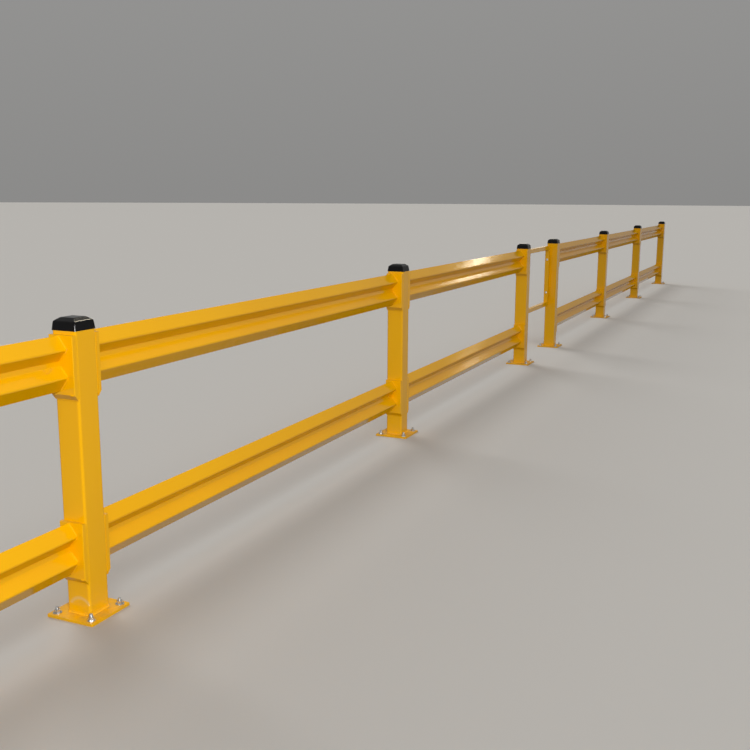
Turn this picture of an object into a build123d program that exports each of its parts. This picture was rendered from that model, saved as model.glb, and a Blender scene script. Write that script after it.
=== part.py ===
from build123d import *
import math
import os

# A double-rail steel guardrail for a warehouse aisle, with a self-closing swing gate in its run.
# X runs along the guardrail, +Y is the side away from the aisle, Z is up, and z = 0 is the floor.
# The origin is on the floor, halfway along the whole run. All sizes are in millimetres.

# Height from the floor to the top of the caps
OVERALL_HEIGHT = 1066.8

# Bays, measured from post centre to post centre
NEAR_BAY = 2850.0
NEAR_BAY_COUNT = 3
FAR_BAY = 2580.0
FAR_BAY_COUNT = 3
GATE_BAY = 1094.0

# Posts: square tube with rounded corners, standing on a plate
POST_WIDTH = 101.6
POST_WALL = 4.8
POST_CORNER_RADIUS = 9.5

# Base plates and their anchor holes
PLATE_SIZE = 203.2
PLATE_THICKNESS = 9.5
PLATE_CORNER_CUT = 3.0
ANCHOR_SPACING = 152.4
ANCHOR_HOLE_RADIUS = 8.0

# Moulded post caps: a tapered skirt with rounded shoulders, a low crown and a plug inside the tube
CAP_OVERHANG = 0.6
CAP_SKIRT_HEIGHT = 31.0
CAP_SKIRT_TAPER = 5.0
CAP_CROWN_HEIGHT = 12.2
CAP_CROWN_TOP = 58.0
CAP_CORNER_CUT = 2.2
CAP_SHOULDER_RADIUS = 8.0
CAP_WALL = 3.5
CAP_PLUG_DEPTH = 28.0
CAP_PLUG_CLEARANCE = 0.6

# Rails: a cold-formed beam with two triangular ribs towards the aisle
RAIL_HEIGHT = 190.0
RAIL_THICKNESS = 3.0
RIB_DEPTH = 36.5
RIB_OUTER_SLOPE = 48.0
RAIL_VALLEY = 17.0
RAIL_BEND_RADIUS = 7.0
RAIL_SETBACK = 24.0
RAIL_TOP_DROP = 14.2
RAIL_SPACING = 658.0

# Rail shoes: formed pans between each rail end and the post's face
SHOE_DEPTH = 17.0
SHOE_THICKNESS = 4.8
SHOE_RISE = 2.0
SHOE_DROP = 33.0
SHOE_FOOT_HEIGHT = 21.5
SHOE_EDGE_CUT = 2.0

# Swing gate: a frame of square tube, flush with the back of the posts
GATE_TUBE = 38.1
GATE_TUBE_WALL = 3.0
GATE_TUBE_RADIUS = 4.0
GATE_HEIGHT = 585.0
GATE_TOP_DROP = 22.0
GATE_LATCH_GAP = 13.0
GATE_HINGE_GAP = 30.0

# Hinges: a leaf on the post, a leaf on the gate and a pin through three knuckles
HINGE_SPACING = 322.0
HINGE_HEIGHT = 90.0
HINGE_LEAF_THICKNESS = 4.0
HINGE_POST_LEAF_WIDTH = 52.0
HINGE_GATE_LEAF_WIDTH = 34.0
HINGE_BARREL_RADIUS = 9.5
HINGE_PIN_RADIUS = 5.0
HINGE_PIN_CLEARANCE = 0.25
HINGE_PIN_HEAD_RADIUS = 8.0
HINGE_PIN_HEAD_HEIGHT = 4.0
HINGE_KNUCKLE_GAP = 1.0
HINGE_GATE_KNUCKLE = 42.0

# Stop on the latch post: a bar in front of the gate's free stile
STOP_THICKNESS = 6.0
STOP_HEIGHT = 50.0
STOP_OVERLAP = 26.0
STOP_CLEARANCE = 5.0
STOP_BELOW_GATE_TOP = 10.0

# Places that follow from the sizes above
HALF_POST = POST_WIDTH / 2
POST_TOP = OVERALL_HEIGHT - CAP_SKIRT_HEIGHT - CAP_CROWN_HEIGHT
RUN_LENGTH = NEAR_BAY * NEAR_BAY_COUNT + GATE_BAY + FAR_BAY * FAR_BAY_COUNT
POST_X = [-RUN_LENGTH / 2 + NEAR_BAY * i for i in range(NEAR_BAY_COUNT + 1)]
POST_X += [RUN_LENGTH / 2 - FAR_BAY * i for i in range(FAR_BAY_COUNT, -1, -1)]
LATCH_POST = NEAR_BAY_COUNT
HINGE_POST = NEAR_BAY_COUNT + 1
UPPER_RAIL_TOP = POST_TOP - RAIL_TOP_DROP
LOWER_RAIL_TOP = UPPER_RAIL_TOP - RAIL_SPACING
GATE_BACK = HALF_POST
GATE_MIDDLE = GATE_BACK - GATE_TUBE / 2
GATE_TOP = POST_TOP - GATE_TOP_DROP
GATE_BOTTOM = GATE_TOP - GATE_HEIGHT
GATE_LEFT = POST_X[LATCH_POST] + HALF_POST + GATE_LATCH_GAP
GATE_RIGHT = POST_X[HINGE_POST] - HALF_POST - GATE_HINGE_GAP
HINGE_X = POST_X[HINGE_POST] - HALF_POST - GATE_HINGE_GAP / 2
HINGE_Y = GATE_BACK
HINGE_LEVELS = [(GATE_TOP + GATE_BOTTOM) / 2 + side * HINGE_SPACING / 2 for side in (-1, 1)]


def post(x):
    """Square tube from the top of the base plate to the cap."""
    outer = RectangleRounded(POST_WIDTH, POST_WIDTH, POST_CORNER_RADIUS)
    inner = Rectangle(POST_WIDTH - 2 * POST_WALL, POST_WIDTH - 2 * POST_WALL)
    return Pos(x, 0, PLATE_THICKNESS) * extrude(outer - inner, POST_TOP - PLATE_THICKNESS)


def base_plate(x):
    """Square plate with one anchor hole near each corner."""
    blank = chamfer(Rectangle(PLATE_SIZE, PLATE_SIZE).vertices(), PLATE_CORNER_CUT)
    holes = GridLocations(ANCHOR_SPACING, ANCHOR_SPACING, 2, 2) * Circle(ANCHOR_HOLE_RADIUS)
    return Pos(x, 0, 0) * extrude(blank - holes, PLATE_THICKNESS)


def cap_form():
    """Outer form of a cap with its foot at z = 0: two crossed bars with rounded shoulders, inside a tapered block."""
    foot = POST_WIDTH / 2 + CAP_OVERHANG
    shoulder = foot - CAP_SKIRT_TAPER
    top = CAP_SKIRT_HEIGHT + CAP_CROWN_HEIGHT
    over = FilletPolyline((-foot, 0), (-shoulder, CAP_SKIRT_HEIGHT), (-CAP_CROWN_TOP / 2, top),
                          (CAP_CROWN_TOP / 2, top), (shoulder, CAP_SKIRT_HEIGHT), (foot, 0),
                          radius=CAP_SHOULDER_RADIUS)
    side_view = make_face(over + Line((foot, 0), (-foot, 0)))
    bar = extrude(Plane.XZ * side_view, foot, both=True)
    plan = chamfer(Rectangle(2 * foot, 2 * foot).vertices(), CAP_CORNER_CUT)
    block = extrude(plan, top, taper=math.degrees(math.atan2(CAP_SKIRT_TAPER, CAP_SKIRT_HEIGHT)))
    return bar & bar.rotate(Axis.Z, 90) & block


def post_cap():
    """Hollow moulded cap that sits on the tube's rim, with a plug down inside it."""
    plug = POST_WIDTH - 2 * (POST_WALL + CAP_PLUG_CLEARANCE)
    bore = plug - 2 * CAP_WALL
    ceiling = CAP_SKIRT_HEIGHT - CAP_WALL
    crown_slope = math.degrees(math.atan2((bore - CAP_CROWN_TOP) / 2, CAP_CROWN_HEIGHT))
    body = cap_form() + Pos(0, 0, -CAP_PLUG_DEPTH) * extrude(Rectangle(plug, plug), CAP_PLUG_DEPTH)
    body -= Pos(0, 0, -CAP_PLUG_DEPTH) * extrude(Rectangle(bore, bore), CAP_PLUG_DEPTH + ceiling)
    body -= Pos(0, 0, ceiling) * extrude(Rectangle(bore, bore), CAP_CROWN_HEIGHT, taper=crown_slope)
    return Pos(0, 0, POST_TOP) * body


def rail_section():
    """Section of a rail in the YZ plane, with its top front edge at the origin."""
    inner_slope = (RAIL_HEIGHT - RAIL_VALLEY) / 2 - RIB_OUTER_SLOPE
    valley_top = -RIB_OUTER_SLOPE - inner_slope
    half = [(0, 0), (-RIB_DEPTH, -RIB_OUTER_SLOPE), (0, valley_top)]
    mirrored = [(y, -RAIL_HEIGHT - z) for y, z in reversed(half)]
    front = FilletPolyline(*(half + mirrored), radius=RAIL_BEND_RADIUS)
    return Plane.YZ * make_face(offset(front, amount=RAIL_THICKNESS, side=Side.LEFT))


def rail(start, end, top):
    """One rail between two shoes."""
    front_edge = -HALF_POST + RAIL_SETBACK + RIB_DEPTH
    return Pos(start, front_edge, top) * extrude(rail_section(), end - start)


def rail_shoe(x, side, rail_top):
    """Formed pan on the post's face: a web, two flanges, a top flange and a sloping foot."""
    low = rail_top - RAIL_HEIGHT - SHOE_DROP
    high = rail_top + SHOE_RISE
    cut_depth = SHOE_DEPTH - SHOE_THICKNESS
    outline = Polyline((0, low), (SHOE_DEPTH, low + SHOE_FOOT_HEIGHT), (SHOE_DEPTH, high), (0, high), close=True)
    rise = SHOE_THICKNESS * math.hypot(SHOE_FOOT_HEIGHT, SHOE_DEPTH) / SHOE_DEPTH
    slope = SHOE_FOOT_HEIGHT / SHOE_DEPTH
    hollow = Polyline((0, low + rise), (cut_depth, low + rise + slope * cut_depth),
                      (cut_depth, high - SHOE_THICKNESS), (0, high - SHOE_THICKNESS), close=True)
    solid = extrude(Plane.XZ * make_face(outline), HALF_POST, both=True)
    corners = [e for e in solid.edges().filter_by(Axis.Z) if e.center().X > cut_depth]
    solid = chamfer(corners, SHOE_EDGE_CUT)
    solid -= extrude(Plane.XZ * make_face(hollow), HALF_POST - SHOE_THICKNESS, both=True)
    if side < 0:
        solid = solid.mirror(Plane.YZ)
    return Pos(x + side * HALF_POST, 0, 0) * solid


def square_tube(length):
    """Gate tube along Z, open at both ends."""
    bore = GATE_TUBE - 2 * GATE_TUBE_WALL
    section = RectangleRounded(GATE_TUBE, GATE_TUBE, GATE_TUBE_RADIUS)
    section -= Rectangle(bore, bore)
    return extrude(section, length)


def gate_stile(x):
    """Upright of the gate, closed at its top and open below."""
    lid = RectangleRounded(GATE_TUBE, GATE_TUBE, GATE_TUBE_RADIUS)
    tube = square_tube(GATE_HEIGHT - GATE_TUBE_WALL)
    tube += Pos(0, 0, GATE_HEIGHT - GATE_TUBE_WALL) * extrude(lid, GATE_TUBE_WALL)
    return Pos(x, GATE_MIDDLE, GATE_BOTTOM) * tube


def gate_bar(z):
    """Horizontal bar of the gate, butted between the two stiles."""
    start = GATE_LEFT + GATE_TUBE
    return Pos(start, GATE_MIDDLE, z) * Rot(0, 90, 0) * square_tube(GATE_RIGHT - GATE_TUBE - start)


def hinge_knuckles(z, spans):
    """Knuckles about the hinge axis, each with a bore for the pin, at the given spans of height."""
    ring = Circle(HINGE_BARREL_RADIUS) - Circle(HINGE_PIN_RADIUS + HINGE_PIN_CLEARANCE)
    return [Pos(HINGE_X, HINGE_Y, z + low) * extrude(ring, high - low) for low, high in spans]


def hinge_leaf(z, side, width, spans):
    """One leaf of a hinge: a plate on its carrier, straps to the knuckles and the knuckles."""
    reach = GATE_HINGE_GAP / 2
    plate = Box(HINGE_LEAF_THICKNESS, width, HINGE_HEIGHT, align=(Align.CENTER, Align.MAX, Align.CENTER))
    leaf = Pos(HINGE_X + side * (reach - HINGE_LEAF_THICKNESS / 2), HINGE_Y, z) * plate
    for low, high in spans:
        strap = Box(reach, HINGE_BARREL_RADIUS, high - low, align=(Align.MIN, Align.MAX, Align.MIN))
        if side < 0:
            strap = strap.mirror(Plane.YZ)
        leaf += Pos(HINGE_X, HINGE_Y, z + low) * strap
    bore = Pos(HINGE_X, HINGE_Y, z) * Cylinder(HINGE_PIN_RADIUS + HINGE_PIN_CLEARANCE, 2 * HINGE_HEIGHT)
    for knuckle in hinge_knuckles(z, spans):
        leaf += knuckle
    return leaf - bore


def hinge_post_leaf(z):
    """Leaf welded to the post, with the two outer knuckles."""
    inner = HINGE_GATE_KNUCKLE / 2 + HINGE_KNUCKLE_GAP
    outer = HINGE_HEIGHT / 2
    return hinge_leaf(z, 1, HINGE_POST_LEAF_WIDTH, [(-outer, -inner), (inner, outer)])


def hinge_gate_leaf(z):
    """Leaf bolted to the gate's stile, with the middle knuckle."""
    half = HINGE_GATE_KNUCKLE / 2
    return hinge_leaf(z, -1, HINGE_GATE_LEAF_WIDTH, [(-half, half)])


def hinge_pin(z):
    """Headed pin that hangs in the post's knuckles."""
    shank = Cylinder(HINGE_PIN_RADIUS, HINGE_HEIGHT, align=(Align.CENTER, Align.CENTER, Align.MAX))
    head = Cylinder(HINGE_PIN_HEAD_RADIUS, HINGE_PIN_HEAD_HEIGHT, align=(Align.CENTER, Align.CENTER, Align.MIN))
    return Pos(HINGE_X, HINGE_Y, z + HINGE_HEIGHT / 2) * (shank + head)


def gate_stop():
    """Bar on the latch post that stops the gate from swinging into the aisle."""
    length = GATE_LATCH_GAP + STOP_OVERLAP
    front = GATE_BACK - GATE_TUBE - STOP_CLEARANCE
    bar = Box(length, STOP_THICKNESS, STOP_HEIGHT, align=(Align.MIN, Align.MAX, Align.MAX))
    return Pos(POST_X[LATCH_POST] + HALF_POST, front, GATE_TOP - STOP_BELOW_GATE_TOP) * bar


def rail_bays():
    """Index pairs of the posts that a bay of rails joins, leaving out the gate's bay."""
    return [(i, i + 1) for i in range(len(POST_X) - 1) if i != LATCH_POST]


def shoes_of_post(index):
    """All shoes on one post, on each side where a bay of rails meets it."""
    sides = [1 for a, b in rail_bays() if a == index] + [-1 for a, b in rail_bays() if b == index]
    tops = (UPPER_RAIL_TOP, LOWER_RAIL_TOP)
    return [rail_shoe(POST_X[index], side, top) for side in sides for top in tops]


def write(name, solids):
    """Write one named piece, or a group of like pieces, to its own file."""
    export_step(Compound(children=solids) if len(solids) > 1 else solids[0], f"parts/{name}.step")


def main():
    os.makedirs("parts", exist_ok=True)
    for index, x in enumerate(POST_X):
        write(f"post_{index + 1}", [post(x)])
        write(f"base_plate_{index + 1}", [base_plate(x)])
        write(f"rail_shoes_{index + 1}", shoes_of_post(index))
    cap = post_cap()
    write("post_caps", [Pos(x, 0, 0) * cap for x in POST_X])
    for number, (left, right) in enumerate(rail_bays(), start=1):
        start = POST_X[left] + HALF_POST + SHOE_DEPTH
        end = POST_X[right] - HALF_POST - SHOE_DEPTH
        write(f"upper_rail_{number}", [rail(start, end, UPPER_RAIL_TOP)])
        write(f"lower_rail_{number}", [rail(start, end, LOWER_RAIL_TOP)])
    write("gate_latch_stile", [gate_stile(GATE_LEFT + GATE_TUBE / 2)])
    write("gate_hinge_stile", [gate_stile(GATE_RIGHT - GATE_TUBE / 2)])
    write("gate_top_bar", [gate_bar(GATE_TOP - GATE_TUBE / 2)])
    write("gate_bottom_bar", [gate_bar(GATE_BOTTOM + GATE_TUBE / 2)])
    write("hinge_post_leaves", [hinge_post_leaf(z) for z in HINGE_LEVELS])
    write("hinge_gate_leaves", [hinge_gate_leaf(z) for z in HINGE_LEVELS])
    write("hinge_pins", [hinge_pin(z) for z in HINGE_LEVELS])
    write("gate_stop", [gate_stop()])


main()
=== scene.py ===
"""Dresses the warehouse guardrail: paint, plastic and zinc, anchors, bolts and welds, on its fixed frame."""

import logging
import math
from dataclasses import dataclass, field
from enum import Enum
from typing import Any, Callable, Iterable, Sequence

import bmesh
import bpy
from bmesh.types import BMEdge, BMesh, BMVert
from bpy.types import Material, Mesh, NodeSocket, NodeTree, Object
from mathutils import Matrix, Vector

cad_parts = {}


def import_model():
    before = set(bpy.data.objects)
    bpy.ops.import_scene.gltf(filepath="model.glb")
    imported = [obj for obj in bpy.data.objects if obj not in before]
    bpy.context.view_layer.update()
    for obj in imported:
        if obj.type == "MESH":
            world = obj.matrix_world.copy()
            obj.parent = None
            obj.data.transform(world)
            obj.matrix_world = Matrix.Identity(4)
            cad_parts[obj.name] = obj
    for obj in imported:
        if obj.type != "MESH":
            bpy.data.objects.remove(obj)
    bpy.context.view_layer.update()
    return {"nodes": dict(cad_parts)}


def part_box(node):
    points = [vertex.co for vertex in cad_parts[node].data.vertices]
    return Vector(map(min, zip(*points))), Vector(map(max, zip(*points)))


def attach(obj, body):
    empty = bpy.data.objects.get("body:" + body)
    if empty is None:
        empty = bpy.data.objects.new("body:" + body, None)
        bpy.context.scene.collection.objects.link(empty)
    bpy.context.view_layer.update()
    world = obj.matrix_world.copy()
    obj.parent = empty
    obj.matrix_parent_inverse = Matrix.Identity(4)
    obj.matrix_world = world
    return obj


LOG = logging.getLogger("guardrail")
MM = 0.001
POST_COUNT = 8
BAY_ENDS = ((1, 2), (2, 3), (3, 4), (5, 6), (6, 7), (7, 8))
HINGE_POST = "post_5"
HINGE_HEIGHT = 90 * MM
TEMPLATE_NAME = "template"
QUARTER = math.pi / 2
# Points of a template that are closer than this are one point.
MERGE_DISTANCE = 0.001 * MM
# Edges of a piece turn sharp at this angle.
SHARP_DEG = 40.0
HEX_SIDES = 6
CHAMFER_DEG = 28.0
# How far out from a nut's axis its chamfer begins, as a share of half the width across flats.
CHAMFER_FROM = 0.97
BEAD_SIDES = 8
# The width of a weld bead at its ends, next to its far end and in its dips, as shares of the full width.
BEAD_END = 0.55
BEAD_SHOULDER = 0.85
BEAD_DIP = 0.86
# The sockets of a colour mix, which share their names with the sockets of its other types.
MIX_FIRST = 6
MIX_SECOND = 7
MIX_RESULT = 2


class Body(Enum):
    """The two bodies that pieces ride on."""

    GUARDRAIL = "guardrail"
    GATE = "gate"


class Slot(Enum):
    """Two of the record's material slots. Nothing in this script gives a piece one of them."""

    YELLOW = "yellow_paint"
    ZINC = "zinc_plate"


def turned(angle: float, axis: str) -> Matrix:
    """Gives the matrix of a turn.

    Args:
        angle: The angle in radians.
        axis: The name of the axis to turn about.

    Returns:
        The matrix, of four rows and columns.
    """
    return Matrix.Rotation(angle, 4, axis)


class Axis(Enum):
    """Turns that bring a piece modelled along +Z onto another axis."""

    TO_MINUS_X = turned(-QUARTER, "Y")
    TO_PLUS_X = turned(QUARTER, "Y")


def linear(hex_colour: str) -> tuple[float, float, float, float]:
    """Turns an sRGB hex colour to linear, by the curve that the sRGB standard gives.

    Args:
        hex_colour: The colour as "#RRGGBB".

    Returns:
        Linear red, green, blue and an alpha of 1.
    """
    parts = [int(hex_colour[i:i + 2], 16) / 255 for i in (1, 3, 5)]
    red, green, blue = (c / 12.92 if c <= 0.04045 else ((c + 0.055) / 1.055) ** 2.4 for c in parts)
    return red, green, blue, 1.0


def per_metre(size_mm: float) -> float:
    """Turns the size of a pattern's features to a texture scale.

    Args:
        size_mm: How wide one feature is, in millimetres.

    Returns:
        How many features there are in a metre.
    """
    return 1.0 / (size_mm * MM)


def add_node(tree: NodeTree, kind: str, inputs: dict[Any, Any] | None = None, **settings: Any) -> Any:
    """Adds a node with its settings, and sets or links its inputs.

    Args:
        tree: The node tree.
        kind: The node's type name.
        inputs: Values or output sockets by input name or number.
        **settings: Properties of the node itself.

    Returns:
        The new node.
    """
    node = tree.nodes.new(kind)
    for name, value in settings.items():
        setattr(node, name, value)
    for key, value in (inputs or {}).items():
        if isinstance(value, NodeSocket):
            tree.links.new(value, node.inputs[key])
        else:
            node.inputs[key].default_value = value
    return node


def blend(tree: NodeTree, factor: Any, first: Any, second: Any) -> NodeSocket:
    """Mixes two colours.

    Args:
        tree: The node tree.
        factor: How much of the second colour there is.
        first: The first colour, as a value or an output socket.
        second: The second colour, likewise.

    Returns:
        The mixed colour.
    """
    return add_node(tree, "ShaderNodeMix", {"Factor": factor, MIX_FIRST: first, MIX_SECOND: second},
                    data_type="RGBA").outputs[MIX_RESULT]


def calculate(tree: NodeTree, operation: str, *values: Any, clamp: bool = False) -> NodeSocket:
    """Does one step of arithmetic on values or output sockets.

    Args:
        tree: The node tree.
        operation: The name of the operation.
        *values: What it works on, in order.
        clamp: Whether the result is held between 0 and 1.

    Returns:
        The result.
    """
    return add_node(tree, "ShaderNodeMath", dict(enumerate(values)), operation=operation,
                    use_clamp=clamp).outputs[0]


def spread(tree: NodeTree, value: NodeSocket, span: tuple[float, float],
           results: tuple[float, float] = (0.0, 1.0)) -> NodeSocket:
    """Maps a span of values evenly onto another one and holds it at both ends.

    Args:
        tree: The node tree.
        value: The value to map.
        span: Where the span starts and ends.
        results: What its start and its end become.

    Returns:
        The mapped value.
    """
    return add_node(tree, "ShaderNodeMapRange", {
        "Value": value, "From Min": span[0], "From Max": span[1], "To Min": results[0],
        "To Max": results[1]}).outputs[0]


def noise(tree: NodeTree, place: NodeSocket, scale: float, detail: float,
          roughness: float = 0.5) -> NodeSocket:
    """Adds a cloudy noise.

    Args:
        tree: The node tree.
        place: The coordinates it is laid out in.
        scale: How many features there are in one unit of them.
        detail: How many finer layers it has.
        roughness: How strong the finer layers are.

    Returns:
        The noise, around 0.5.
    """
    return add_node(tree, "ShaderNodeTexNoise", {"Vector": place, "Scale": scale, "Detail": detail,
                                                 "Roughness": roughness}).outputs[0]


def along_axis(tree: NodeTree, vector: NodeSocket, axis: str) -> NodeSocket:
    """Takes one axis of a vector.

    Args:
        tree: The node tree.
        vector: The vector.
        axis: The axis's name.

    Returns:
        What the vector measures along it.
    """
    return add_node(tree, "ShaderNodeSeparateXYZ", {0: vector}).outputs[axis]


def facing_up(tree: NodeTree) -> NodeSocket:
    """Tells how far the surface faces up.

    Args:
        tree: The node tree.

    Returns:
        1 where it lies level, 0 where it is upright, and less where it faces down.
    """
    return along_axis(tree, add_node(tree, "ShaderNodeNewGeometry").outputs["Normal"], "Z")


def object_place(tree: NodeTree) -> NodeSocket:
    """Tells where on the object a point is.

    Args:
        tree: The node tree.

    Returns:
        The point in the object's own coordinates, in metres.
    """
    return add_node(tree, "ShaderNodeTexCoord").outputs["Object"]


def new_material(name: str) -> tuple[Material, NodeTree]:
    """Makes a material with an empty node tree.

    Args:
        name: The material's name.

    Returns:
        The material and its node tree.
    """
    material = bpy.data.materials.new(name)
    material.use_nodes = True
    material.node_tree.nodes.clear()
    return material, material.node_tree


@dataclass(frozen=True)
class PowderCoat:
    """Polyester powder coat baked on steel: smooth and glossy, with a faint orange peel and wide waves."""

    colour: str = "#F2B400"
    deep_colour: str = "#E8A600"
    dust_colour: str = "#A08A5C"
    rub_colour: str = "#7A5C1C"
    scuff_colour: str = "#D9C79A"
    roughness: float = 0.11
    dusty_roughness: float = 0.5
    specular: float = 0.3
    drift_mm: float = 700.0
    drift_detail: float = 3.0
    wave_mm: float = 160.0
    wave_detail: float = 1.0
    wave_depth_mm: float = 0.5
    # Real orange peel is 1 to 3 mm across, too fine for the render, so it is drawn coarser.
    peel_mm: float = 7.0
    peel_detail: float = 2.0
    peel_depth_mm: float = 0.03
    # Dust lies on what faces up by more than the first of these, and most where it faces up fully.
    dust_facing: tuple[float, float] = (0.75, 1.0)
    dust_on_level: float = 0.3
    # Grime at the floor, which fades out at the foot's height.
    grime_at_floor: float = 0.2
    foot_height_mm: float = 120.0
    dust_mm: float = 45.0
    dust_detail: float = 6.0
    dust_grain: float = 0.65
    dust_patches: tuple[float, float] = (0.4, 0.7)
    rub_long_mm: float = 260.0
    rub_high_mm: float = 7.0
    rub_detail: float = 4.0
    rub_grain: float = 0.7
    rub_peaks: tuple[float, float] = (0.68, 0.8)
    rub_strength: float = 0.45
    # Base plates are walked on and swept, so their coat has lost its shine.
    trodden_roughness: float = 0.42
    trodden_top_mm: float = 30.0
    trodden_full_mm: float = 14.0
    # A pale scuff in the form of an arch, low on the second post's face towards the first bay.
    scuff_x_mm: float = -5892.8
    scuff_centre_mm: tuple[float, float] = (-8.0, 24.0)
    scuff_radius_mm: float = 46.5
    scuff_half_width_mm: float = 9.0
    scuff_above_mm: float = 46.0
    scuff_strength: float = 0.4
    scuff_face_depth_mm: float = 2.0

    def material(self, name: str) -> Material:
        """Builds the paint.

        Args:
            name: The material's name.

        Returns:
            The material.
        """
        material, tree = new_material(name)
        place = object_place(tree)
        dust = self._dust_mask(tree, place)
        worn = blend(tree, self._rub_mask(tree, place), self._tone(tree, place), linear(self.rub_colour))
        scuffed = blend(tree, self._scuff_mask(tree, place), worn, linear(self.scuff_colour))
        dusty = blend(tree, dust, scuffed, linear(self.dust_colour))
        coat = spread(tree, dust, (0.0, 1.0), (self.roughness, self.dusty_roughness))
        shader = add_node(tree, "ShaderNodeBsdfPrincipled", {
            "Base Color": dusty, "Roughness": calculate(tree, "MAXIMUM", coat, self._trodden(tree, place)),
            "Specular IOR Level": self.specular, "Normal": self._skin(tree, place)})
        add_node(tree, "ShaderNodeOutputMaterial", {"Surface": shader.outputs[0]})
        return material

    def _tone(self, tree: NodeTree, place: NodeSocket) -> NodeSocket:
        """Lets the colour drift slowly along the run, as the coat's thickness does.

        Args:
            tree: The node tree.
            place: The point on the object.

        Returns:
            The colour.
        """
        drift = noise(tree, place, per_metre(self.drift_mm), self.drift_detail)
        return blend(tree, drift, linear(self.deep_colour), linear(self.colour))

    def _dust_mask(self, tree: NodeTree, place: NodeSocket) -> NodeSocket:
        """Masks the dust that lies on surfaces facing up, and the grime low on the posts and plates.

        Args:
            tree: The node tree.
            place: The point on the object.

        Returns:
            The mask.
        """
        lying = spread(tree, facing_up(tree), self.dust_facing, (0.0, self.dust_on_level))
        low = spread(tree, along_axis(tree, place, "Z"), (self.foot_height_mm * MM, 0.0),
                     (0.0, self.grime_at_floor))
        grain = noise(tree, place, per_metre(self.dust_mm), self.dust_detail, self.dust_grain)
        patchy = spread(tree, grain, self.dust_patches)
        return calculate(tree, "MULTIPLY", calculate(tree, "ADD", lying, low), patchy, clamp=True)

    def _trodden(self, tree: NodeTree, place: NodeSocket) -> NodeSocket:
        """Gives the roughness that wear has brought to the base plates and the welds on them.

        Args:
            tree: The node tree.
            place: The point on the object.

        Returns:
            The roughness.
        """
        heights = (self.trodden_top_mm * MM, self.trodden_full_mm * MM)
        return spread(tree, along_axis(tree, place, "Z"), heights, (0.0, self.trodden_roughness))

    def _rub_mask(self, tree: NodeTree, place: NodeSocket) -> NodeSocket:
        """Masks a few long, thin rub marks left by things that brushed along the rails.

        Args:
            tree: The node tree.
            place: The point on the object.

        Returns:
            The mask.
        """
        stretch = (per_metre(self.rub_long_mm), per_metre(self.rub_long_mm), per_metre(self.rub_high_mm))
        along_rail = add_node(tree, "ShaderNodeMapping", {"Vector": place, "Scale": stretch}).outputs[0]
        streak = noise(tree, along_rail, 1.0, self.rub_detail, self.rub_grain)
        return spread(tree, streak, self.rub_peaks, (0.0, self.rub_strength))

    def _scuff_mask(self, tree: NodeTree, place: NodeSocket) -> NodeSocket:
        """Masks a soft arch of the scuff's radius on one face of one post.

        Args:
            tree: The node tree.
            place: The point on the object.

        Returns:
            The mask.
        """
        x, y, z = (along_axis(tree, place, axis) for axis in "XYZ")
        flat = add_node(tree, "ShaderNodeCombineXYZ", {"Y": y, "Z": z}).outputs[0]
        centre = (0.0, self.scuff_centre_mm[0] * MM, self.scuff_centre_mm[1] * MM)
        reach = add_node(tree, "ShaderNodeVectorMath", {0: flat, 1: centre}, operation="DISTANCE")
        off = calculate(tree, "SUBTRACT", reach.outputs["Value"], self.scuff_radius_mm * MM)
        band = spread(tree, calculate(tree, "ABSOLUTE", off), (0.0, self.scuff_half_width_mm * MM),
                      (self.scuff_strength, 0.0))
        face = calculate(tree, "COMPARE", x, self.scuff_x_mm * MM, self.scuff_face_depth_mm * MM)
        high = calculate(tree, "GREATER_THAN", z, self.scuff_above_mm * MM)
        return calculate(tree, "MULTIPLY", band, calculate(tree, "MULTIPLY", face, high))

    def _skin(self, tree: NodeTree, place: NodeSocket) -> NodeSocket:
        """Gives the coat its orange peel over soft waves in the steel.

        Args:
            tree: The node tree.
            place: The point on the object.

        Returns:
            The shading normal.
        """
        wave = noise(tree, place, per_metre(self.wave_mm), self.wave_detail)
        peel = noise(tree, place, per_metre(self.peel_mm), self.peel_detail)
        base = add_node(tree, "ShaderNodeBump", {"Height": wave, "Distance": self.wave_depth_mm * MM})
        return add_node(tree, "ShaderNodeBump", {"Height": peel, "Distance": self.peel_depth_mm * MM,
                                                 "Normal": base.outputs[0]}).outputs[0]


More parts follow.
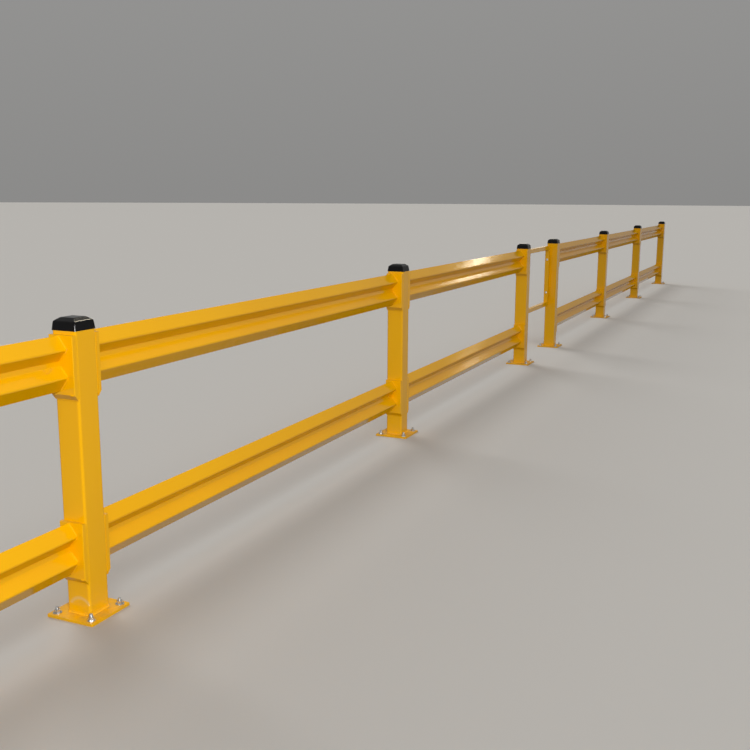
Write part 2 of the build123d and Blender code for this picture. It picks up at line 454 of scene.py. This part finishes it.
@dataclass(frozen=True)
class MouldedPlastic:
    """Injection-moulded black polyethylene: glossy, with hairline scratches and a little dust on top."""

    colour: str = "#060607"
    dust_colour: str = "#4A4741"
    roughness: float = 0.13
    scratched_roughness: float = 0.2
    specular: float = 0.3
    scratch_mm: float = 3.0
    scratch_long_mm: float = 60.0
    scratch_turn_deg: float = 35.0
    scratch_detail: float = 3.0
    scratch_peaks: tuple[float, float] = (0.5, 0.75)
    dust_mm: float = 12.0
    dust_detail: float = 5.0
    dust_patches: tuple[float, float] = (0.45, 0.75)
    dust_facing: tuple[float, float] = (0.6, 1.0)
    dust_on_level: float = 0.06

    def material(self, name: str) -> Material:
        """Builds the plastic.

        Args:
            name: The material's name.

        Returns:
            The material.
        """
        material, tree = new_material(name)
        place = object_place(tree)
        lying = spread(tree, facing_up(tree), self.dust_facing, (0.0, self.dust_on_level))
        grain = noise(tree, place, per_metre(self.dust_mm), self.dust_detail)
        dust = calculate(tree, "MULTIPLY", lying, spread(tree, grain, self.dust_patches))
        colour = blend(tree, dust, linear(self.colour), linear(self.dust_colour))
        stretch = (per_metre(self.scratch_long_mm), per_metre(self.scratch_mm), per_metre(self.scratch_mm))
        turn = (0.0, 0.0, math.radians(self.scratch_turn_deg))
        scratched = add_node(tree, "ShaderNodeMapping", {"Vector": place, "Scale": stretch,
                                                         "Rotation": turn})
        hair = noise(tree, scratched.outputs[0], 1.0, self.scratch_detail)
        rough = spread(tree, hair, self.scratch_peaks, (self.roughness, self.scratched_roughness))
        shader = add_node(tree, "ShaderNodeBsdfPrincipled", {"Base Color": colour, "Roughness": rough,
                                                             "Specular IOR Level": self.specular})
        add_node(tree, "ShaderNodeOutputMaterial", {"Surface": shader.outputs[0]})
        return material


@dataclass(frozen=True)
class ZincPlate:
    """Bright zinc plate on steel fasteners: grey metal with a soft shine, dulled in patches by bloom."""

    colour: str = "#DCDEE0"
    bloom_colour: str = "#B4B2AC"
    roughness: float = 0.3
    bloom_roughness: float = 0.6
    bloom_mm: float = 6.0
    bloom_detail: float = 5.0
    bloom_grain: float = 0.6
    bloom_patches: tuple[float, float] = (0.42, 0.7)

    def material(self, name: str) -> Material:
        """Builds the plating.

        Args:
            name: The material's name.

        Returns:
            The material.
        """
        material, tree = new_material(name)
        cloud = noise(tree, object_place(tree), per_metre(self.bloom_mm), self.bloom_detail,
                      self.bloom_grain)
        patchy = spread(tree, cloud, self.bloom_patches)
        colour = blend(tree, patchy, linear(self.colour), linear(self.bloom_colour))
        rough = spread(tree, patchy, (0.0, 1.0), (self.roughness, self.bloom_roughness))
        shader = add_node(tree, "ShaderNodeBsdfPrincipled", {"Base Color": colour, "Metallic": 1.0,
                                                             "Roughness": rough})
        add_node(tree, "ShaderNodeOutputMaterial", {"Surface": shader.outputs[0]})
        return material


@dataclass
class Finishes:
    """The finished materials that all sub-assemblies share."""

    paint: Material = field(default_factory=lambda: PowderCoat().material("powder_coated_steel"))
    plastic: Material = field(default_factory=lambda: MouldedPlastic().material("moulded_plastic"))
    zinc: Material = field(default_factory=lambda: ZincPlate().material("zinc_plated_steel"))


def template(build: Callable[[BMesh], None]) -> Mesh:
    """Makes a mesh that is stamped many times.

    Args:
        build: Fills the empty bmesh that it is given.

    Returns:
        The mesh, with its normals outwards. drop_templates removes it.
    """
    bm = bmesh.new()
    build(bm)
    bmesh.ops.remove_doubles(bm, verts=bm.verts, dist=MERGE_DISTANCE)
    bmesh.ops.recalc_face_normals(bm, faces=bm.faces)
    mesh = bpy.data.meshes.new(TEMPLATE_NAME)
    bm.to_mesh(mesh)
    bm.free()
    return mesh


def drop_templates() -> None:
    """Removes all templates, once every copy of them is stamped."""
    for mesh in [m for m in bpy.data.meshes if m.name.startswith(TEMPLATE_NAME)]:
        bpy.data.meshes.remove(mesh)


def stamp(bm: BMesh, mesh: Mesh, matrix: Matrix) -> None:
    """Adds a copy of a template at a place.

    Args:
        bm: The bmesh to add to.
        mesh: The template.
        matrix: Where the copy goes, with no mirror in it.
    """
    first = len(bm.verts)
    bm.from_mesh(mesh)
    bm.verts.ensure_lookup_table()
    bmesh.ops.transform(bm, matrix=matrix, verts=bm.verts[first:])


def place_piece(name: str, bm: BMesh, material: Material, body: Body) -> None:
    """Turns a bmesh into a named piece that rides on a body.

    Args:
        name: The piece's name.
        bm: Its mesh, in the frame's own coordinates. It is freed.
        material: Its finish.
        body: The body it rides on.
    """
    mesh = bpy.data.meshes.new(name)
    for face in bm.faces:
        face.smooth = True
    bm.to_mesh(mesh)
    bm.free()
    mesh.set_sharp_from_angle(angle=math.radians(SHARP_DEG))
    mesh.materials.append(material)
    piece = bpy.data.objects.new(name, mesh)
    bpy.context.scene.collection.objects.link(piece)
    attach(piece, body.value)
    LOG.info("made %s with %d faces", name, len(mesh.polygons))


def lathe(bm: BMesh, profile: Sequence[tuple[float, float]], steps: int) -> None:
    """Spins a profile of radius and height pairs about Z.

    Args:
        bm: The bmesh to add to.
        profile: Points that start and end on the axis, or that come back to the first one.
        steps: How many steps a full turn has.
    """
    verts = [bm.verts.new((radius, 0.0, height)) for radius, height in profile]
    edges = [bm.edges.new(pair) for pair in zip(verts, verts[1:])]
    bmesh.ops.spin(bm, geom=verts + edges, cent=(0, 0, 0), axis=(0, 0, 1), angle=math.tau, steps=steps,
                   use_merge=True, use_duplicate=False)


def hex_prism(bm: BMesh, across_flats: float, height: float, both_ends: bool) -> None:
    """Adds a hexagonal prism on z = 0 whose corners are cut off by a chamfer.

    Args:
        bm: The bmesh to add to.
        across_flats: The width from flat to flat.
        height: The height.
        both_ends: Whether the lower end is chamfered too.
    """
    corner = across_flats / math.sqrt(3)
    bmesh.ops.create_cone(bm, cap_ends=True, segments=HEX_SIDES, radius1=corner, radius2=corner,
                          depth=height, matrix=Matrix.Translation((0, 0, height / 2)))
    slope = math.radians(CHAMFER_DEG)
    ends = ((height, 1.0), (0.0, -1.0)) if both_ends else ((height, 1.0),)
    cuts = 2 * HEX_SIDES
    first_angle = math.pi / cuts
    for level, way in ends:
        for i in range(cuts):
            angle = first_angle + math.tau * i / cuts
            outward = Vector((math.cos(angle), math.sin(angle), 0.0))
            normal = (outward * math.sin(slope) + Vector((0, 0, way * math.cos(slope)))).normalized()
            point = outward * (across_flats / 2 * CHAMFER_FROM) + Vector((0, 0, level))
            geometry = bm.verts[:] + bm.edges[:] + bm.faces[:]
            cut = bmesh.ops.bisect_plane(bm, geom=geometry, plane_co=point, plane_no=normal,
                                         clear_outer=True)
            rim = [e for e in cut["geom_cut"] if isinstance(e, BMEdge)]
            if rim:
                bmesh.ops.contextual_create(bm, geom=rim)


def bead(bm: BMesh, length: float, radius: float, ripple: float) -> None:
    """Adds a weld bead along +Z with a ripple at each step and closed, tapering ends.

    Args:
        bm: The bmesh to add to.
        length: The bead's length.
        radius: Its radius.
        ripple: The distance from ripple to ripple.
    """
    count = max(2, round(length / ripple))
    step = length / (2 * count)
    # Full width and a dip by turns, then the taper at the far end.
    widths = [1.0, BEAD_DIP] * (count - 1) + [BEAD_SHOULDER, BEAD_END]
    bmesh.ops.create_circle(bm, cap_ends=True, segments=BEAD_SIDES, radius=radius * BEAD_END)
    ring = bm.edges[:]
    size = BEAD_END
    for i, wanted in enumerate(widths):
        grown = bmesh.ops.extrude_edge_only(bm, edges=ring)["geom"]
        verts = [g for g in grown if isinstance(g, BMVert)]
        ring = [g for g in grown if isinstance(g, BMEdge)]
        centre = Vector((0, 0, step * i))
        bmesh.ops.scale(bm, vec=(wanted / size, wanted / size, 1.0), verts=verts,
                        space=Matrix.Translation(-centre))
        bmesh.ops.translate(bm, vec=(0, 0, step), verts=verts)
        size = wanted
    bmesh.ops.contextual_create(bm, geom=ring)


def along(start: Vector, end: Vector) -> Matrix:
    """Works out how a piece modelled from z = 0 along +Z is laid between two points.

    Args:
        start: Where its z = 0 goes.
        end: The point that it runs towards.

    Returns:
        The matrix.
    """
    turn = (end - start).to_track_quat("Z", "Y").to_matrix().to_4x4()
    return Matrix.Translation(start) @ turn


def add_beads(bm: BMesh, lines: Iterable[tuple[Vector, Vector]], radius: float, ripple: float) -> None:
    """Lays a weld bead on each line, making one template for each length.

    Args:
        bm: The bmesh to add to.
        lines: Start and end of each bead.
        radius: The beads' radius.
        ripple: The distance from ripple to ripple.
    """
    made: dict[int, Mesh] = {}
    for start, end in lines:
        length = (end - start).length
        key = round(length / MM)
        if key not in made:
            made[key] = template(lambda fresh, size=length: bead(fresh, size, radius, ripple))
        stamp(bm, made[key], along(start, end))


def washer_ring(bm: BMesh, inner: float, outer: float, top: float, edge: float, steps: int) -> None:
    """Spins a washer: a flat ring on z = 0 whose upper outer rim is cut off.

    Args:
        bm: The bmesh to add to.
        inner: The radius of its hole.
        outer: Its radius.
        top: Its thickness.
        edge: The size of the cut.
        steps: How many steps a full turn has.
    """
    profile = ((inner, 0.0), (outer, 0.0), (outer, top - edge), (outer - edge, top), (inner, top),
               (inner, 0.0))
    lathe(bm, profile, steps)


@dataclass
class AnchorSets:
    """Half-inch wedge anchors at the corners of each base plate: washer, hexagon nut and threaded stud."""

    finishes: Finishes
    spacing: float = 152.4 * MM
    stud_radius: float = 6.35 * MM
    # How far the stud stands above the plate, for each corner of a plate.
    stud_rises: tuple[float, ...] = (26 * MM, 23.5 * MM, 23 * MM, 25 * MM)
    thread_pitch: float = 1.95 * MM
    thread_depth: float = 0.9 * MM
    stud_steps: int = 16
    washer_radius: float = 16 * MM
    washer_thickness: float = 2.6 * MM
    washer_edge: float = 0.5 * MM
    washer_steps: int = 32
    nut_across: float = 19 * MM
    nut_height: float = 11 * MM
    # Each nut and stud stands at an angle of its own, by its plate and its corner.
    turn_per_plate_deg: float = 23.0
    turn_per_corner_deg: float = 37.0

    def build(self) -> None:
        """Makes one piece for each plate."""
        washer = template(self._washer)
        nut = template(lambda bm: hex_prism(bm, self.nut_across, self.nut_height, True))
        studs = [template(lambda bm, rise=rise: self._stud(bm, rise)) for rise in self.stud_rises]
        for number in range(1, POST_COUNT + 1):
            low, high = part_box(f"base_plate_{number}")
            centre = (low + high) / 2
            bm = bmesh.new()
            for corner, stud in enumerate(studs):
                side_x = 1 if corner % 2 else -1
                side_y = 1 if corner // 2 else -1
                spot = Vector((centre.x + side_x * self.spacing / 2, centre.y + side_y * self.spacing / 2,
                               high.z))
                angle = self.turn_per_plate_deg * number + self.turn_per_corner_deg * corner
                turn = turned(math.radians(angle), "Z")
                stamp(bm, washer, Matrix.Translation(spot))
                stamp(bm, nut, Matrix.Translation(spot + Vector((0, 0, self.washer_thickness))) @ turn)
                stamp(bm, stud, Matrix.Translation(spot) @ turn)
            place_piece(f"anchors_{number}", bm, self.finishes.zinc, Body.GUARDRAIL)

    def _washer(self, bm: BMesh) -> None:
        """Spins the anchor's washer.

        Args:
            bm: The bmesh to add to.
        """
        washer_ring(bm, self.stud_radius, self.washer_radius, self.washer_thickness, self.washer_edge,
                    self.washer_steps)

    def _stud(self, bm: BMesh, rise: float) -> None:
        """Spins a thread's crests and roots, with a chamfered tip.

        Args:
            bm: The bmesh to add to.
            rise: How high the stud stands.
        """
        start = self.washer_thickness + self.nut_height - self.thread_pitch
        root = self.stud_radius - self.thread_depth
        profile = [(0.0, start), (root, start)]
        level = start
        while level + self.thread_pitch < rise - self.thread_depth:
            profile.append((self.stud_radius, level + self.thread_pitch / 2))
            profile.append((root, level + self.thread_pitch))
            level += self.thread_pitch
        profile.append((root, rise - self.thread_depth))
        profile.append((root - self.thread_depth, rise))
        profile.append((0.0, rise))
        lathe(bm, profile, self.stud_steps)


@dataclass
class FootWelds:
    """Fillet weld all round the foot of each post, where it stands on its plate."""

    finishes: Finishes
    radius: float = 4.6 * MM
    bury: float = 1.2 * MM
    ripple: float = 3.2 * MM
    post_corner: float = 9.5 * MM

    def build(self) -> None:
        """Lays four straight beads and four corner beads at each post."""
        for number in range(1, POST_COUNT + 1):
            low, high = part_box(f"post_{number}")
            centre = (low + high) / 2
            half = (high.x - low.x) / 2
            level = low.z + self.bury
            run = half - self.post_corner
            reach = half + self.bury
            bm = bmesh.new()
            lines = []
            for quarter in range(4):
                spot = Matrix.Translation((centre.x, centre.y, level)) @ turned(quarter * QUARTER, "Z")
                lines.append((spot @ Vector((-run, -reach, 0)), spot @ Vector((run, -reach, 0))))
                lines.append((spot @ Vector((run, -reach, 0)), spot @ Vector((reach, -run, 0))))
            add_beads(bm, lines, self.radius, self.ripple)
            place_piece(f"foot_weld_{number}", bm, self.finishes.paint, Body.GUARDRAIL)


@dataclass
class ShoeWelds:
    """Welds on the rail shoes: seams down the post's corners, tacks, and fillets along the rails' ribs."""

    finishes: Finishes
    seam_radius: float = 4.4 * MM
    seam_ripple: float = 5 * MM
    seam_setback: float = 4.2 * MM
    seam_inset: float = 2.6 * MM
    seam_below_rail: float = 24 * MM
    seam_above_rail: float = 1 * MM
    rib_radius: float = 4 * MM
    rib_ripple: float = 3 * MM
    rib_depth: float = 36.5 * MM
    rib_outer: float = 48 * MM
    rib_inner: float = 38.5 * MM
    bend_radius: float = 7 * MM
    # How much a crest's rounding cuts it back, as a share of the bend's radius.
    crest_cut: float = 0.35
    # The fillets stop short of the bends. The trim is a share of the bend's radius, and the three after it
    # are shares of the trim: at the rail's edge, at a crest and in the valley.
    trim: float = 0.8
    trim_at_edge: float = 0.2
    trim_at_crest: float = 0.8
    trim_in_valley: float = 1.0
    # Tacks at both lower corners of a shoe's web, and a bead along the foot where it meets the post.
    tack_radius: float = 5 * MM
    tack_length: float = 16 * MM
    # How deep a tack sits in the web, as a share of its radius.
    tack_bury: float = 0.4
    web_below_rail: float = 11.5 * MM
    foot_below_rail: float = 33 * MM
    foot_radius: float = 2.4 * MM

    def build(self) -> None:
        """Makes the seams of each post and the fillets of each bay."""
        for number in range(1, POST_COUNT + 1):
            self._seams(number)
        for bay in range(1, len(BAY_ENDS) + 1):
            self._rib_fillets(bay)

    def _seams(self, number: int) -> None:
        """Lays the seams, tacks and foot beads on all shoes of one post.

        Args:
            number: The post's number.
        """
        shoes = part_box(f"rail_shoes_{number}")
        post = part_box(f"post_{number}")
        depths = {-1: post[0].x - shoes[0].x, 1: shoes[1].x - post[1].x}
        sides = [side for side, reach in depths.items() if reach > MM]
        depth = max(depths.values())
        centre = (post[0] + post[1]) / 2
        half = (post[1].x - post[0].x) / 2
        bay = next(i for i, ends in enumerate(BAY_ENDS, start=1) if number in ends)
        seams, tacks, feet = [], [], []
        for rail in ("upper", "lower"):
            low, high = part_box(f"{rail}_rail_{bay}")
            for side in sides:
                for face in (-1, 1):
                    x = centre.x + side * (half - self.seam_inset)
                    y = centre.y + face * (half - self.seam_setback)
                    seams.append((Vector((x, y, low.z - self.seam_below_rail)),
                                  Vector((x, y, high.z + self.seam_above_rail))))
                    web = centre.x + side * (half + depth - self.tack_radius * self.tack_bury)
                    inner = centre.y + face * (half - self.tack_radius - self.tack_length)
                    level = low.z - self.web_below_rail
                    tacks.append((Vector((web, inner, level)),
                                  Vector((web, inner + face * self.tack_length, level))))
                foot = centre.x + side * half
                level = low.z - self.foot_below_rail
                run = half - self.bend_radius
                feet.append((Vector((foot, centre.y - run, level)), Vector((foot, centre.y + run, level))))
        bm = bmesh.new()
        add_beads(bm, seams, self.seam_radius, self.seam_ripple)
        add_beads(bm, tacks, self.tack_radius, self.seam_ripple)
        add_beads(bm, feet, self.foot_radius, self.seam_ripple)
        place_piece(f"shoe_seams_{number}", bm, self.finishes.paint, Body.GUARDRAIL)

    def _rib_fillets(self, bay: int) -> None:
        """Lays beads along the four slopes of each rail's front, at both of its ends.

        Args:
            bay: The bay's number.
        """
        bm = bmesh.new()
        lines = []
        for rail in ("upper", "lower"):
            low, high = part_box(f"{rail}_rail_{bay}")
            slopes = self._slopes(low.y, high.z, low.z)
            for x in (low.x, high.x):
                for (y0, z0), (y1, z1) in slopes:
                    lines.append((Vector((x, y0, z0)), Vector((x, y1, z1))))
        add_beads(bm, lines, self.rib_radius, self.rib_ripple)
        place_piece(f"rib_welds_{bay}", bm, self.finishes.paint, Body.GUARDRAIL)

    def _slopes(self, crest: float, top: float, bottom: float) -> list[tuple[tuple[float, float], ...]]:
        """Works out the four slopes of a rail's section.

        Args:
            crest: The Y of the rounded crests.
            top: The rail's top.
            bottom: The rail's bottom.

        Returns:
            Start and end of each slope as Y and Z pairs, stopping short of the bends.
        """
        sharp = crest - self.bend_radius * self.crest_cut
        flat = sharp + self.rib_depth
        slopes = []
        for way, start in ((-1, top), (1, bottom)):
            edge = Vector((flat, start))
            peak = Vector((sharp, start + way * self.rib_outer))
            valley = Vector((flat, peak.y + way * self.rib_inner))
            pair = ((edge, peak, self.trim_at_edge, self.trim_at_crest),
                    (peak, valley, self.trim_at_crest, self.trim_in_valley))
            for first, last, off_first, off_last in pair:
                step = (last - first).normalized() * self.bend_radius * self.trim
                slopes.append((tuple(first + step * off_first), tuple(last - step * off_last)))
        return slopes


@dataclass
class HingeBolts:
    """Bolts that hold the hinge leaves to the gate's stile, with their nuts in the gap to the post."""

    finishes: Finishes
    leaf_thickness: float = 4 * MM
    across: float = 16 * MM
    head_height: float = 6.4 * MM
    nut_height: float = 8 * MM
    washer_radius: float = 11 * MM
    washer_thickness: float = 2 * MM
    washer_edge: float = 0.4 * MM
    shank_radius: float = 5 * MM
    end_past_nut: float = 3 * MM
    end_chamfer: float = 1 * MM
    steps: int = 24
    # How far the bolts sit from the stile's middle towards the aisle.
    forward: float = 2.5 * MM

    def build(self) -> None:
        """Makes one piece with both bolts."""
        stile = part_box("gate_hinge_stile")
        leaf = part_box("hinge_gate_leaves")
        stile_face = stile[0].x
        leaf_face = leaf[0].x + self.leaf_thickness
        y = (stile[0].y + stile[1].y) / 2 - self.forward
        head = template(self._head)
        nut = template(self._nut)
        bm = bmesh.new()
        for z in (leaf[0].z + HINGE_HEIGHT / 2, leaf[1].z - HINGE_HEIGHT / 2):
            stamp(bm, head, Matrix.Translation((stile_face, y, z)) @ Axis.TO_MINUS_X.value)
            stamp(bm, nut, Matrix.Translation((leaf_face, y, z)) @ Axis.TO_PLUS_X.value)
        place_piece("hinge_bolts", bm, self.finishes.zinc, Body.GATE)

    def _prism(self, height: float, both_ends: bool) -> Mesh:
        """Makes the hexagon of a head or a nut.

        Args:
            height: Its height.
            both_ends: Whether both of its ends are chamfered.

        Returns:
            The template.
        """
        return template(lambda bm: hex_prism(bm, self.across, height, both_ends))

    def _head(self, bm: BMesh) -> None:
        """Joins a washer and a bolt's head.

        Args:
            bm: The bmesh to add to.
        """
        washer_ring(bm, self.shank_radius, self.washer_radius, self.washer_thickness, self.washer_edge,
                    self.steps)
        stamp(bm, self._prism(self.head_height, False), Matrix.Translation((0, 0, self.washer_thickness)))

    def _nut(self, bm: BMesh) -> None:
        """Joins a nut and the bolt's end that shows past it.

        Args:
            bm: The bmesh to add to.
        """
        stamp(bm, self._prism(self.nut_height, True), Matrix.Identity(4))
        stamp(bm, template(self._end), Matrix.Translation((0, 0, self.nut_height)))

    def _end(self, bm: BMesh) -> None:
        """Spins the bolt's end with its chamfer.

        Args:
            bm: The bmesh to add to.
        """
        radius, rise, cut = self.shank_radius, self.end_past_nut, self.end_chamfer
        lathe(bm, ((0.0, -cut), (radius, -cut), (radius, rise - cut), (radius - cut, rise), (0.0, rise)),
              self.steps)


@dataclass
class GateWelds:
    """Fillet welds of the gate: round the four joints of its frame, on the hinge leaves and on the stop."""

    finishes: Finishes
    radius: float = 2.6 * MM
    bury: float = 0.8 * MM
    ripple: float = 2.6 * MM
    corner: float = 5 * MM
    # How far the beads on the post's leaves stop short of the post's back.
    leaf_setback: float = 10 * MM

    def build(self) -> None:
        """Lays all beads, those on the gate apart from those on the posts."""
        self._frame_joints()
        self._post_leaves()
        self._stop()

    def _frame_joints(self) -> None:
        """Lays a bead on each side of each bar, where it butts against a stile."""
        lines = []
        for name in ("gate_top_bar", "gate_bottom_bar"):
            low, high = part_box(name)
            y0, y1 = low.y + self.corner, high.y - self.corner
            z0, z1 = low.z + self.corner, high.z - self.corner
            inset = self.bury
            for x in (low.x + inset, high.x - inset):
                for y in (low.y + inset, high.y - inset):
                    lines.append((Vector((x, y, z0)), Vector((x, y, z1))))
                for z in (low.z + inset, high.z - inset):
                    lines.append((Vector((x, y0, z)), Vector((x, y1, z))))
        self._place("gate_welds", lines, Body.GATE)

    def _post_leaves(self) -> None:
        """Lays a bead down the front edge of each leaf on the post, and along its top and bottom edges."""
        low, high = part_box("hinge_post_leaves")
        half = HINGE_HEIGHT / 2
        x = high.x - self.bury
        front = low.y
        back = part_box(HINGE_POST)[1].y - self.leaf_setback
        lines = []
        for middle in (low.z + half, high.z - half):
            lines.append((Vector((x, front, middle - half)), Vector((x, front, middle + half))))
            for edge in (middle - half, middle + half):
                lines.append((Vector((x, front, edge)), Vector((x, back, edge))))
        self._place("hinge_welds", lines, Body.GUARDRAIL)

    def _stop(self) -> None:
        """Lays a bead on each side of the stop, where it meets the latch post."""
        low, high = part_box("gate_stop")
        x = low.x + self.bury
        lines = [(Vector((x, y, low.z)), Vector((x, y, high.z))) for y in (low.y, high.y)]
        self._place("stop_welds", lines, Body.GUARDRAIL)

    def _place(self, name: str, lines: list[tuple[Vector, Vector]], body: Body) -> None:
        """Makes one piece of the beads along some lines.

        Args:
            name: The piece's name.
            lines: Start and end of each bead.
            body: The body that the piece rides on.
        """
        bm = bmesh.new()
        add_beads(bm, lines, self.radius, self.ripple)
        place_piece(name, bm, self.finishes.paint, body)


@dataclass(frozen=True)
class FlatLamp:
    """A rectangular lamp hidden from the camera: a softbox, or a warm strip that only glossy faces mirror.

    Its radiance is the brightness that a perfect mirror would show.
    """

    name: str
    place: tuple[float, float, float]
    aim: tuple[float, float, float]
    size: tuple[float, float]
    radiance: float
    mirrored_only: bool = True
    colour: str = "#FFF3D6"

    def build(self) -> Object:
        """Adds the lamp.

        Returns:
            The lamp's object.
        """
        data = bpy.data.lights.new(self.name, "AREA")
        data.shape = "RECTANGLE"
        data.size, data.size_y = self.size
        data.energy = self.radiance * math.pi * data.size * data.size_y
        data.color = linear(self.colour)[:3]
        lamp = bpy.data.objects.new(self.name, data)
        lamp.location = self.place
        lamp.rotation_euler = (-Vector(self.aim)).to_track_quat("Z", "Y").to_euler()
        lamp.visible_camera = False
        lamp.visible_diffuse = not self.mirrored_only
        bpy.context.scene.collection.objects.link(lamp)
        return lamp


@dataclass
class Studio:
    """Plain pale floor, soft light and the camera at the photograph's place."""

    camera_place: tuple[float, float, float] = (-8.3254, -2.2386, 1.4734)
    pitch_deg: float = 10.745
    yaw_deg: float = 24.161
    roll_deg: float = -0.284
    lens_mm: float = 45.285
    sensor_mm: float = 36.0
    clip_metres: tuple[float, float] = (0.05, 400.0)
    floor_radius: float = 180.0
    floor_sides: int = 128
    floor_colour: str = "#DDDAD5"
    floor_bounce: str = "#5E5B56"
    sky_colour: str = "#FFFEFC"
    horizon_level: float = 0.26
    zenith_level: float = 0.42
    softbox: FlatLamp = FlatLamp("softbox", (-10.4, -4.7, 3.0), (0.77, 0.57, -0.29), (1.4, 1.4), 73.0, False,
                                "#FFFFFF")
    # Placed so that the third bay's rails and the caps mirror them where they shine in the photograph.
    strips: tuple[FlatLamp, ...] = (
        FlatLamp("strip_a", (15.6, -2.6, 6.0), (0.0, 0.0, -1.0), (1.1, 0.6), 11.0),
        FlatLamp("strip_b", (14.3, -1.35, 6.0), (0.0, 0.0, -1.0), (3.0, 0.6), 8.0),
        FlatLamp("strip_c", (-2.1, -0.1, 4.4), (-0.744, 0.011, -0.668), (0.3, 0.9), 70.0),
        FlatLamp("strip_d", (16.3, -3.8, 6.0), (0.0, 0.0, -1.0), (0.6, 0.35), 10.0),
        FlatLamp("strip_e", (19.0, -5.4, 6.0), (0.0, 0.0, -1.0), (0.6, 0.4), 7.0),
        FlatLamp("strip_f", (29.0, 7.5, 2.55), (-1.0, 0.0, 0.0), (1.6, 1.0), 1.6))
    sun_angle_deg: float = 30.0
    sun_strength: float = 0.4
    sun_from: tuple[float, float, float] = (-0.5, -0.4, 0.76)
    back_sun_strength: float = 1.15
    back_sun_from: tuple[float, float, float] = (0.5, 0.7, 0.5)

    def build(self) -> None:
        """Adds floor, world, lamps and camera."""
        floor = self._floor()
        self._world()
        self._sun("key", self.sun_strength, self.sun_from)
        self._sun("back", self.back_sun_strength, self.back_sun_from).visible_glossy = False
        self._spare(floor, self.softbox.build())
        for strip in self.strips:
            strip.build()
        self._camera()
        bpy.context.scene.view_settings.view_transform = "Standard"

    def _floor(self) -> Object:
        """Lays a floor that is pale to the eye and sends less light up at the rails.

        Returns:
            The floor.
        """
        bm = bmesh.new()
        bmesh.ops.create_circle(bm, cap_ends=True, segments=self.floor_sides, radius=self.floor_radius)
        mesh = bpy.data.meshes.new("floor")
        bm.to_mesh(mesh)
        bm.free()
        material, tree = new_material("floor_paint")
        rays = add_node(tree, "ShaderNodeLightPath").outputs
        seen = calculate(tree, "ADD", rays["Is Camera Ray"], rays["Is Glossy Ray"])
        shown = calculate(tree, "ADD", seen, rays["Is Transmission Ray"], clamp=True)
        colour = blend(tree, shown, linear(self.floor_bounce), linear(self.floor_colour))
        shader = add_node(tree, "ShaderNodeBsdfDiffuse", {"Color": colour})
        add_node(tree, "ShaderNodeOutputMaterial", {"Surface": shader.outputs[0]})
        mesh.materials.append(material)
        floor = bpy.data.objects.new("floor", mesh)
        bpy.context.scene.collection.objects.link(floor)
        return floor

    def _spare(self, floor: Object, lamp: Object) -> None:
        """Keeps a lamp's light off the floor, which stays evenly pale under the sun and the sky.

        Args:
            floor: The floor.
            lamp: The lamp that leaves it out.
        """
        spared = bpy.data.collections.new(f"not_lit_by_{lamp.name}")
        spared.objects.link(floor)
        for member in spared.collection_objects:
            member.light_linking.link_state = "EXCLUDE"
        lamp.light_linking.receiver_collection = spared

    def _world(self) -> None:
        """Surrounds the scene with a grey light that grows towards the zenith."""
        world = bpy.data.worlds.new("studio")
        world.use_nodes = True
        tree = world.node_tree
        tree.nodes.clear()
        way = add_node(tree, "ShaderNodeNewGeometry").outputs["Position"]
        level = spread(tree, along_axis(tree, way, "Z"), (0.0, 1.0), (self.horizon_level, self.zenith_level))
        back = add_node(tree, "ShaderNodeBackground", {"Color": linear(self.sky_colour), "Strength": level})
        add_node(tree, "ShaderNodeOutputWorld", {"Surface": back.outputs[0]})
        bpy.context.scene.world = world

    def _sun(self, name: str, strength: float, way: tuple[float, float, float]) -> Object:
        """Adds a wide sun.

        Args:
            name: The lamp's name.
            strength: Its strength.
            way: The direction that it shines from.

        Returns:
            The lamp's object.
        """
        lamp = bpy.data.lights.new(name, "SUN")
        lamp.energy = strength
        lamp.angle = math.radians(self.sun_angle_deg)
        sun = bpy.data.objects.new(name, lamp)
        sun.rotation_euler = Vector(way).to_track_quat("Z", "Y").to_euler()
        bpy.context.scene.collection.objects.link(sun)
        return sun

    def _camera(self) -> None:
        """Sets the camera where the photograph was taken from."""
        pitch, yaw, roll = (math.radians(a) for a in (self.pitch_deg, self.yaw_deg, self.roll_deg))
        forward = Vector((math.cos(pitch) * math.cos(yaw), math.cos(pitch) * math.sin(yaw),
                          -math.sin(pitch)))
        level = forward.cross(Vector((0, 0, 1))).normalized()
        down = forward.cross(level)
        right = math.cos(roll) * level + math.sin(roll) * down
        below = -math.sin(roll) * level + math.cos(roll) * down
        data = bpy.data.cameras.new("camera")
        data.sensor_width = self.sensor_mm
        data.lens = self.lens_mm
        data.clip_start, data.clip_end = self.clip_metres
        camera = bpy.data.objects.new("camera", data)
        turn = Matrix((right, -below, -forward)).transposed().to_4x4()
        camera.matrix_world = Matrix.Translation(self.camera_place) @ turn
        bpy.context.scene.collection.objects.link(camera)
        bpy.context.scene.camera = camera


@dataclass
class FrameDress:
    """Gives each CAD node its finish."""

    finishes: Finishes
    plastic_nodes: tuple[str, ...] = ("post_caps",)
    zinc_nodes: tuple[str, ...] = ("hinge_pins",)

    def build(self, nodes: dict[str, Object]) -> None:
        """Assigns paint, plastic or zinc to every node.

        Args:
            nodes: The CAD nodes by name.
        """
        for name, node in nodes.items():
            material = self.finishes.paint
            if name in self.plastic_nodes:
                material = self.finishes.plastic
            if name in self.zinc_nodes:
                material = self.finishes.zinc
            node.data.materials.clear()
            node.data.materials.append(material)
            LOG.info("dressed %s in %s", name, material.name)


def main() -> None:
    """Loads the frame and builds every sub-assembly round it."""
    logging.basicConfig(level=logging.INFO, format="%(name)s %(message)s")
    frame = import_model()
    finishes = Finishes()
    FrameDress(finishes).build(frame["nodes"])
    AnchorSets(finishes).build()
    FootWelds(finishes).build()
    ShoeWelds(finishes).build()
    HingeBolts(finishes).build()
    GateWelds(finishes).build()
    drop_templates()
    Studio().build()


if __name__ == "__main__":
    main()
